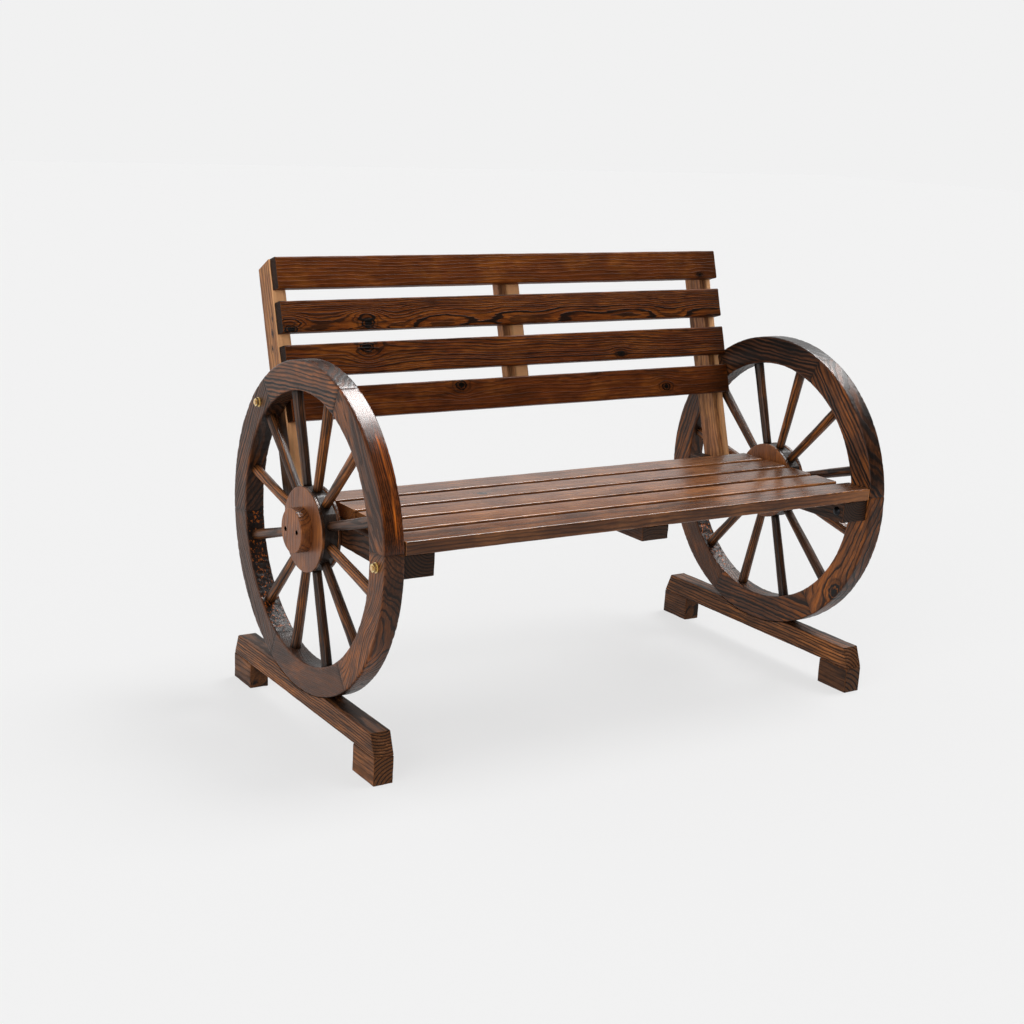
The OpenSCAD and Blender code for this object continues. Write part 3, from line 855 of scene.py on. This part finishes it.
# The seat's edges are sharp, so its edge abrasion paints the highlight of a rounded edge.
seat_wood = wood(
    "seat_wood", ((148, 91, 53), (184, 119, 71), (105, 59, 32), (26, 11, 5), (240, 160, 96)),
    rough=0.26, coat=0.14, shine=0.16, relief=0.12, coat_rough=0.16, fine=0.45,
)
back_wood = wood(
    "back_wood", ((118, 58, 18), (150, 82, 28), (78, 35, 10), (10, 5, 2), (120, 66, 26)),
    rough=0.44, shine=0.06, end_dark=1.0,
)
rim_wood = wood(
    "rim_wood", ((116, 72, 46), (168, 98, 46), (80, 52, 36), (16, 12, 10), (240, 126, 40)),
    rough=0.36, coat=0.07, shine=0.17, edge_rub_and_light=0.03,
)
base_wood = wood(
    "base_wood", ((124, 80, 52), (168, 106, 60), (70, 48, 36), (16, 11, 9), (180, 104, 50)),
    rough=0.46, shine=0.15, edge_rub_and_light=0.3,
)
spoke_wood = wood(
    "spoke_wood", ((104, 66, 42), (164, 98, 46), (54, 34, 22), (12, 8, 6), (150, 86, 46)),
    rough=0.34, coat=0.12, shine=0.2,
)
hub_wood = wood(
    "hub_wood", ((138, 82, 48), (176, 106, 54), (96, 54, 28), (24, 13, 7), (190, 122, 66)),
    rough=0.34, coat=0.1, shine=0.25, edge_rub_and_light=0.4,
)
core_wood = wood(
    "core_wood", ((54, 44, 39), (74, 60, 52), (34, 28, 25), (8, 7, 7), (70, 56, 48)),
    rough=0.36, shine=0.12, relief=0.15,
)
rail_wood = wood(
    "rail_wood", ((92, 56, 34), (120, 74, 42), (58, 36, 24), (10, 7, 5), (130, 78, 44)),
    rough=0.42, shine=0.2, end_dark=0.65,
)
post_wood = wood(
    "post_wood", ((176, 116, 74), (204, 140, 86), (128, 80, 50), (34, 20, 12), (255, 192, 136)),
    rough=0.46, shine=0.2, edge_rub_and_light=0.1,
)
zinc = metal("zinc_steel", linear(232, 214, 160), linear(206, 172, 120), 0.24, 1.0, 900.0)
black_steel = metal(
    "black_steel", linear(20, 20, 22), linear(36, 36, 40), 0.3, 0.8, 700.0, plated=linear(226, 190, 140),
)

# Seat and back

back_grains = {
    1: Grain(across=UP_SLOPE, pith=(-75, -60), ring=4.6, wave=(1.5, 1.5), contrast=0.3, bold=0.3, char=0.3,
             tone=0.05, seed=1, knots=((440, -20, 6, 0.5),)),
    2: Grain(across=UP_SLOPE, pith=(-23, -26), ring=2.3, slope=(0.0, 0.01), wave=(0.7, 3.0), wave_length=110,
             contrast=1.0, bold=0.5, char=0.1, tone=0.2, seed=2,
             knots=((-317, -16, 11, 1.0), (-468, -23, 10, 1.0))),
    3: Grain(across=UP_SLOPE, pith=(60, -60), ring=3.0, slope=(0.0, 0.02), wave=(1.0, 2.0), wave_length=130,
             contrast=0.85, bold=0.3, char=0.2, seed=3,
             knots=((-325, 18, 11, 1.0), (-330, 14, 42, -0.3), (225, -17, 7, 0.8))),
    4: Grain(across=UP_SLOPE, pith=(46, -34), ring=4.6, wave=(1.5, 3.5), contrast=0.4, bold=0.3, char=0.4,
             tone=-0.22, seed=4, knots=((-140, 17, 10, 1.0), (325, -10, 9, 1.0))),
}


def back_stain(points, normals):
    """The back is a little darker on the right, and most at its right end."""
    right_half = ramp(points[:, 0], 0, 250)
    right_end = ramp(points[:, 0], 425, 475)
    return 0.1 * right_half + 0.4 * right_end


for number, grain in back_grains.items():
    board(f"back_slat_{number}", grain, back_wood, ease=0, soot_and_painted_light=back_stain)

seat_grains = {
    1: Grain(pith=(20, -60), ring=5.2, contrast=0.6, bold=0.4, char=0.4, tone=-0.15, seed=11),
    2: Grain(pith=(-50, -50), ring=5.6, contrast=0.5, char=0.15, tone=0.2, seed=12),
    3: Grain(pith=(60, -50), ring=5.2, contrast=0.6, char=0.2, tone=0.1, seed=13),
    4: Grain(pith=(-60, -40), ring=5.0, contrast=0.6, char=0.3, tone=0.05, seed=14,
             knots=((-208, -7, 8, 1.0), (-366, -6, 4, 0.9))),
    5: Grain(pith=(50, -50), ring=5.2, contrast=0.55, char=0.25, tone=-0.08, seed=15),
}


def seat_tone_and_shade(points, normals):
    """The seat is darker towards its right end; its fronts get painted shade, which turns into painted light
    towards the right end.
    """
    right_end = ramp(points[:, 0], 200, 500)
    front = np.clip(-normals[:, 1], 0, 1)
    # The front term is painted shade in the gaps and on the front face, and painted light at the right end.
    return 0.5 * right_end * (1 - front) + front * (0.35 - 0.6 * right_end)


for number, grain in seat_grains.items():
    board(f"seat_slat_{number}", grain, seat_wood, ease=0, soot_and_painted_light=seat_tone_and_shade)


MIDDLE_REACH = 400.0


def post_light_and_shade(points, normals):
    """Posts are pale in front, painted light where they stand in shade behind the slats, with a brown and a
    dark strip on most, and painted shade inside the wheels.
    """
    front = np.clip(normals @ -BACKWARD, 0, 1)
    across = points[:, 0] - points[:, 0].min()
    across /= across.max()
    place = points[:, 0].mean()
    # Below 0 the strips paint light on the fronts, which stand in shade behind the slats.
    if place < -MIDDLE_REACH:
        strips = np.full(len(points), -1.0)
    elif place < MIDDLE_REACH:
        strips = np.interp(across, (0.0, 0.34, 0.42, 1.0), (0.45, 0.45, -1.0, -1.0))
    else:
        strips = np.interp(across, (0.0, 0.3, 0.36, 0.5, 0.56, 1.0), (0.15, 0.15, 0.45, 0.45, -1.0, -1.0))
    # Painted shade low down, where the wheels shade the posts.
    low = ramp(points[:, 2], 560, 500)
    dark = (1 - 0.75 * front) * 0.9 if place < 0 else 0.1
    return front * strips * (1 - 0.4 * low) + low * dark * (1 - front)


post_grain = Grain(along=UP_SLOPE, across=BACKWARD, pith=(30, 50), ring=6.0, contrast=0.6, bold=0.3,
                   char=0.25)
rail_grain = Grain(along=Y, across=X, pith=(14, -26), ring=4.4, wave=(3.0, 3.0), wave_length=70,
                   contrast=0.95, bold=0.45, char=0.5, tone=-0.35)
post_seeds = {"left": 21, "right": 24}
rail_seeds = {"left": 25, "right": 28}
post_knots = {"left": ((120, -8, 3, 0.5), (70, 4, 3.5, 0.5), (95, -3, 4, 0.5)), "right": ()}
for side in SIDES:
    post = replace(post_grain, seed=post_seeds[side], knots=post_knots[side])
    board(f"{side}_back_post", post, post_wood, ease=0, soot_and_painted_light=post_light_and_shade)
    rail = replace(rail_grain, seed=rail_seeds[side])
    board(f"{side}_seat_rail", rail, rail_wood, ends=(-Y,), relief=0.7)
seat_batten = Grain(along=Y, across=X, pith=(0, 60), ring=4.5, contrast=0.4, char=0.3, tone=-0.1, seed=31)
board("seat_batten", seat_batten, rail_wood)
back_batten = Grain(along=UP_SLOPE, across=X, pith=(15, 60), ring=4, contrast=0.3, char=0.05, tone=0.15,
                    seed=32)
board("back_batten", back_batten, post_wood, soot_and_painted_light=post_light_and_shade)

# Base

beam_grains = {
    "left": Grain(along=Y, across=Z, pith=(52, 2), ring=4.4, wave=(1.0, 1.5), contrast=1.0, bold=0.45,
                  char=0.2, tone=0.3, seed=41),
    "right": Grain(along=Y, across=Z, pith=(-30, -20), ring=6.0, wave=(0.8, 0.8), contrast=1.0, bold=0.5,
                   char=0.1, tone=0.15, seed=48),
}
foot_grain = Grain(along=Y, across=Z, bold=0.4)
foot_looks = {
    ("left", "front"): dict(pith=(-34, 26), ring=6.5, contrast=0.6, char=0.45, tone=0.1, seed=43.2),
    ("left", "rear"): dict(pith=(-40, 30), ring=6.0, contrast=0.6, char=0.6, tone=-0.1, seed=44.8),
    ("right", "front"): dict(pith=(-44, -30), ring=9.0, contrast=0.6, char=0.8, tone=-0.5, seed=50.2),
    ("right", "rear"): dict(pith=(-44, -30), ring=5.0, contrast=0.9, char=0.5, tone=-0.2, seed=51.8),
}


def beam_top_shade(points, normals):
    """The beams' tops are darker: painted shade."""
    return 0.4 * np.clip(normals[:, 2], 0, 1)


for side in SIDES:
    board(f"{side}_base_beam", beam_grains[side], base_wood, ends=(-Y, Y), relief=1.9,
          soot_and_painted_light=beam_top_shade)
for (side, end), look in foot_looks.items():
    way = -Y if end == "front" else Y
    foot = replace(foot_grain, **look)
    board(f"{side}_{end}_foot", foot, base_wood, ends=(way,), relief=1.0)

# Wheels

left_rim = {
    1: Grain(pith=(-120, -40), ring=6.0, slope=(-0.05, 0.0), contrast=1.0, bold=0.6, char=0.2, tone=-0.25,
             seed=51),
    2: Grain(pith=(-140, -60), ring=5.6, slope=(-0.03, 0.0), wave=(2.5, 2.0), contrast=1.0, bold=0.6,
             char=0.1, tone=0.15, seed=52),
    3: Grain(pith=(-20, 105), ring=3.4, slope=(0.0, 0.02), wave=(2.0, 1.5), contrast=0.85, bold=0.45,
             char=0.45, tone=-0.1, seed=53),
    4: Grain(pith=(-60, -24), ring=3.7, wave=(6.0, 4.0), wave_length=55, contrast=0.85, bold=0.3, char=0.15,
             tone=0.15, seed=54),
    5: Grain(pith=(-70, 50), ring=3.0, contrast=0.35, char=0.7, tone=-0.3, seed=55),
    6: Grain(pith=(60, -60), ring=5.0, contrast=0.8, char=0.6, tone=-0.55, seed=56),
}
right_rim = {
    1: Grain(pith=(-100, 50), ring=8.0, slope=(0.1, 0.0), contrast=0.9, bold=0.35, char=0.3, tone=-0.1,
             seed=61),
    2: Grain(pith=(-90, 40), ring=7.0, slope=(-0.12, 0.0), contrast=1.0, bold=0.8, char=0.8, tone=-0.6,
             seed=62),
    3: Grain(pith=(-120, 60), ring=8.0, slope=(0.08, 0.0), contrast=1.0, bold=0.6, char=0.3, tone=-0.1,
             seed=63),
    4: Grain(pith=(-40, 40), ring=7.0, slope=(0.1, 0.05), wave=(4.0, 4.0), wave_length=150, contrast=1.0,
             bold=0.1, char=0.1, tone=0.4, seed=64, knots=((66, 10, 15, 1.0), (70, 4, 34, -0.3))),
    5: Grain(pith=(-60, 50), ring=7.0, slope=(-0.12, 0.0), contrast=1.0, bold=0.5, char=0.3, seed=65),
    6: Grain(pith=(60, 50), ring=4.0, contrast=0.6, char=0.5, tone=-0.2, seed=66),
}

# The sixth felloe of each rim is rough sawn inside. A tread is how sooty and how varnished it
# is, and a painted tread highlight is its place across and the turns that it runs between.
ROUGH_SAWN = 6
TREADS = {("left", 3): (0.05, 1.0), ("left", 2): (0.6, 0.5)}
DARK_TREAD = (0.55, 0.2)
TREAD_HIGHLIGHTS = {("left", 3): (5.0, 134.0, 172.0)}
for side, rims in (("left", left_rim), ("right", right_rim)):
    for number, grain in rims.items():
        rough = 1.0 if number == ROUGH_SAWN else 0.3
        tread_soot, tread_polish = TREADS.get((side, number), DARK_TREAD)
        streak = TREAD_HIGHLIGHTS.get((side, number))
        felloe(side, number, grain, rim_wood, rough, tread_soot, tread_polish, streak)


def spoke_grain(number, seed):
    """No two pairs of spokes are alike in their rings and tone, and each third is smokier."""
    return Grain(
        pith=(14, 10 + 3 * math.sin(number * 2.1)), ring=3.4, contrast=0.95, bold=0.4,
        char=0.7 if number % 3 == 0 else 0.3, tone=0.5 * math.sin(number * 1.7), seed=seed,
    )


WHEEL_SEEDS = {"left": 70, "right": 80}
plate_grain = Grain(along=Z, across=Y, pith=(70, 40), ring=4.2, contrast=0.4, char=0.15)
boss_grain = Grain(along=Z, across=Y, pith=(20, 30), ring=5.0, contrast=0.5, char=0.05, tone=0.25)
core_grain = Grain(along=Z, across=Y, pith=(20, 60), ring=4, contrast=0.4, char=0.4)
half_rim = RIM_THICKNESS / 2
for side, seed in WHEEL_SEEDS.items():
    for number in range(1, SPOKES // 2 + 1):
        spoke_pair(side, number, spoke_grain(number, seed + number), spoke_wood)
    disc(side, f"{side}_inner_hub_disc", -half_rim, -half_rim + DISC_T, DISC_D,
         replace(plate_grain, seed=seed + 12), hub_wood, edge_soot=0.8)
    disc(side, f"{side}_outer_hub_disc", half_rim - DISC_T, half_rim, DISC_D,
         replace(plate_grain, seed=seed + 11), hub_wood, edge_soot=0.9)
    disc(side, f"{side}_hub_boss", half_rim, half_rim + BOSS_T, BOSS_D,
         replace(boss_grain, seed=seed + 13), hub_wood)
    board(f"{side}_hub_core", replace(core_grain, seed=seed + 14), core_wood, ease=1.2)

# Steel, and the dowels inside the rims

for node, material in (
    ("carriage_bolts", black_steel), ("flange_nuts", zinc), ("slat_screws", zinc),
    ("base_screws", zinc), ("hub_screws", zinc), ("felloe_dowels", post_wood),
):
    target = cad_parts[node]
    target.data.materials.clear()
    target.data.materials.append(material)

# Floor, light and camera

FLOOR_SIZE = 40.0
SHADOW_SHARE = 0.25
MATT_FLOOR = 0.95
LIT_FLOOR = 0.45
BACKDROP = 0.879
ROOM_LEVEL = 0.31
DARK_SIDE = 0.03
SOFTBOX_DISTANCE = 4.0
LEFT_TREAD = (WHEEL_X["left"] * MM, -0.1, 0.6)
RIGHT_TREAD = (WHEEL_X["right"] * MM, 0.0, 0.6)


def grey(level):
    return (level, level, level, 1.0)


def seen_or_lit(n, seen, lit):
    """One shader for what is seen or mirrored, and another for what light falls on."""
    ways = n.add("ShaderNodeLightPath").outputs
    direct = n.math("MAXIMUM", ways["Is Camera Ray"],
                    n.math("MAXIMUM", ways["Is Glossy Ray"], ways["Is Transmission Ray"]))
    mixed = n.add("ShaderNodeMixShader", {0: direct})
    n.feed(mixed.inputs[1], lit)
    n.feed(mixed.inputs[2], seen)
    return mixed.outputs[0]


def make_floor():
    """A floor that is seen as pale as the backdrop, with part of the shadow on it."""
    half = FLOOR_SIZE / 2
    corners = [(-half, -half, 0), (half, -half, 0), (half, half, 0), (-half, half, 0)]
    mesh = bpy.data.meshes.new("floor")
    mesh.from_pydata(corners, [], [(0, 1, 2, 3)])
    material = bpy.data.materials.new("studio_floor")
    n = Nodes(material)
    pale = n.add("ShaderNodeEmission", {"Color": grey(BACKDROP), "Strength": 1.0})
    matt = n.add("ShaderNodeBsdfDiffuse", {"Color": grey(MATT_FLOOR)})
    seen = n.add("ShaderNodeMixShader", {0: SHADOW_SHARE})
    n.feed(seen.inputs[1], pale.outputs[0])
    n.feed(seen.inputs[2], matt.outputs[0])
    dim = n.add("ShaderNodeBsdfDiffuse", {"Color": grey(LIT_FLOOR)})
    n.add("ShaderNodeOutputMaterial", {0: seen_or_lit(n, seen.outputs[0], dim.outputs[0])})
    mesh.materials.append(material)
    floor = bpy.data.objects.new("studio_floor", mesh)
    bpy.context.scene.collection.objects.link(floor)


def make_room():
    """Even light all round; mirrored are a bright wall behind and a dark room in front."""
    world = bpy.data.worlds.new("studio")
    n = Nodes(world)
    way_y = n.split(n.add("ShaderNodeTexCoord").outputs["Generated"])[1]
    behind = n.span(way_y, -0.45, 0.35, DARK_SIDE, BACKDROP)
    ways = n.add("ShaderNodeLightPath").outputs
    in_view = ways["Is Camera Ray"]
    mirrored = n.times(n.math("SUBTRACT", 1.0, in_view), behind)
    level = n.plus(n.times(in_view, BACKDROP), mirrored)
    seen = n.add("ShaderNodeBackground", {0: grey(1.0), 1: level})
    lit = n.add("ShaderNodeBackground", {0: grey(1.0), 1: ROOM_LEVEL})
    n.add("ShaderNodeOutputWorld", {0: seen_or_lit(n, seen.outputs[0], lit.outputs[0])})
    bpy.context.scene.world = world


def sun(name, towards, strength, softness):
    """A far lamp: towards is the way to it, and softness its width in degrees."""
    lamp = bpy.data.lights.new(name, "SUN")
    lamp.energy = strength
    lamp.angle = math.radians(softness)
    holder = bpy.data.objects.new(name, lamp)
    holder.rotation_mode = "QUATERNION"
    holder.rotation_quaternion = Vector(towards).to_track_quat("Z", "Y")
    bpy.context.scene.collection.objects.link(holder)


def softbox(name, target, towards, width, height, level):
    """A lamp that is only mirrored: it gives the varnish its glare, and lights nothing else."""
    lamp = bpy.data.lights.new(name, "AREA")
    lamp.shape = "RECTANGLE"
    lamp.size, lamp.size_y = width, height
    lamp.energy = level * math.pi * width * height
    holder = bpy.data.objects.new(name, lamp)
    holder.location = Vector(target) + Vector(towards).normalized() * SOFTBOX_DISTANCE
    holder.rotation_mode = "QUATERNION"
    holder.rotation_quaternion = Vector(towards).to_track_quat("Z", "Y")
    holder.visible_diffuse = False
    holder.visible_camera = False
    bpy.context.scene.collection.objects.link(holder)


# The camera's place is in millimetres, and its turns are in radians
CAMERA_PLACE = (-1645.88, -2270.42, 1042.77)
CAMERA_YAW, CAMERA_PITCH, CAMERA_ROLL = 0.5301, 0.2637, 0.0417
SENSOR_WIDTH, CAMERA_LENS = 36.0, 55.79
CAMERA_SHIFT_X, CAMERA_SHIFT_Y = 0.0996, 0.0156


def make_camera():
    """The photograph's camera: yaw is from +Y towards +X, pitch is downwards."""
    yaw, pitch, roll = CAMERA_YAW, CAMERA_PITCH, CAMERA_ROLL
    level_way = np.array([math.sin(yaw), math.cos(yaw), 0])
    forward = math.cos(pitch) * level_way - math.sin(pitch) * Z
    level_right = np.cross(level_way, Z)
    level_up = np.cross(level_right, forward)
    right = math.cos(roll) * level_right + math.sin(roll) * level_up
    up = math.cos(roll) * level_up - math.sin(roll) * level_right
    data = bpy.data.cameras.new("photo_camera")
    data.sensor_width = SENSOR_WIDTH
    data.lens = CAMERA_LENS
    data.shift_x = CAMERA_SHIFT_X
    data.shift_y = CAMERA_SHIFT_Y
    camera = bpy.data.objects.new("photo_camera", data)
    camera.rotation_mode = "QUATERNION"
    camera.rotation_quaternion = Matrix(np.column_stack([right, up, -forward]).tolist()).to_quaternion()
    camera.location = [place * MM for place in CAMERA_PLACE]
    bpy.context.scene.collection.objects.link(camera)
    bpy.context.scene.camera = camera


make_floor()
make_room()
sun("key_light", (0.50, 0.02, 0.86), strength=1.7, softness=30)
sun("front_light", (-0.85, -0.42, 0.32), strength=1.35, softness=50)
sun("rear_light", (-0.5, 0.75, 0.45), strength=0.3, softness=70)
softbox("tread_softbox", LEFT_TREAD, (0.49, 0.2, 0.85), width=1.8, height=1.9, level=28.0)
softbox("far_softbox", RIGHT_TREAD, (0.7, 0.15, 0.7), width=1.8, height=1.8, level=6.0)
make_camera()
bpy.context.scene.view_settings.view_transform = "Standard"
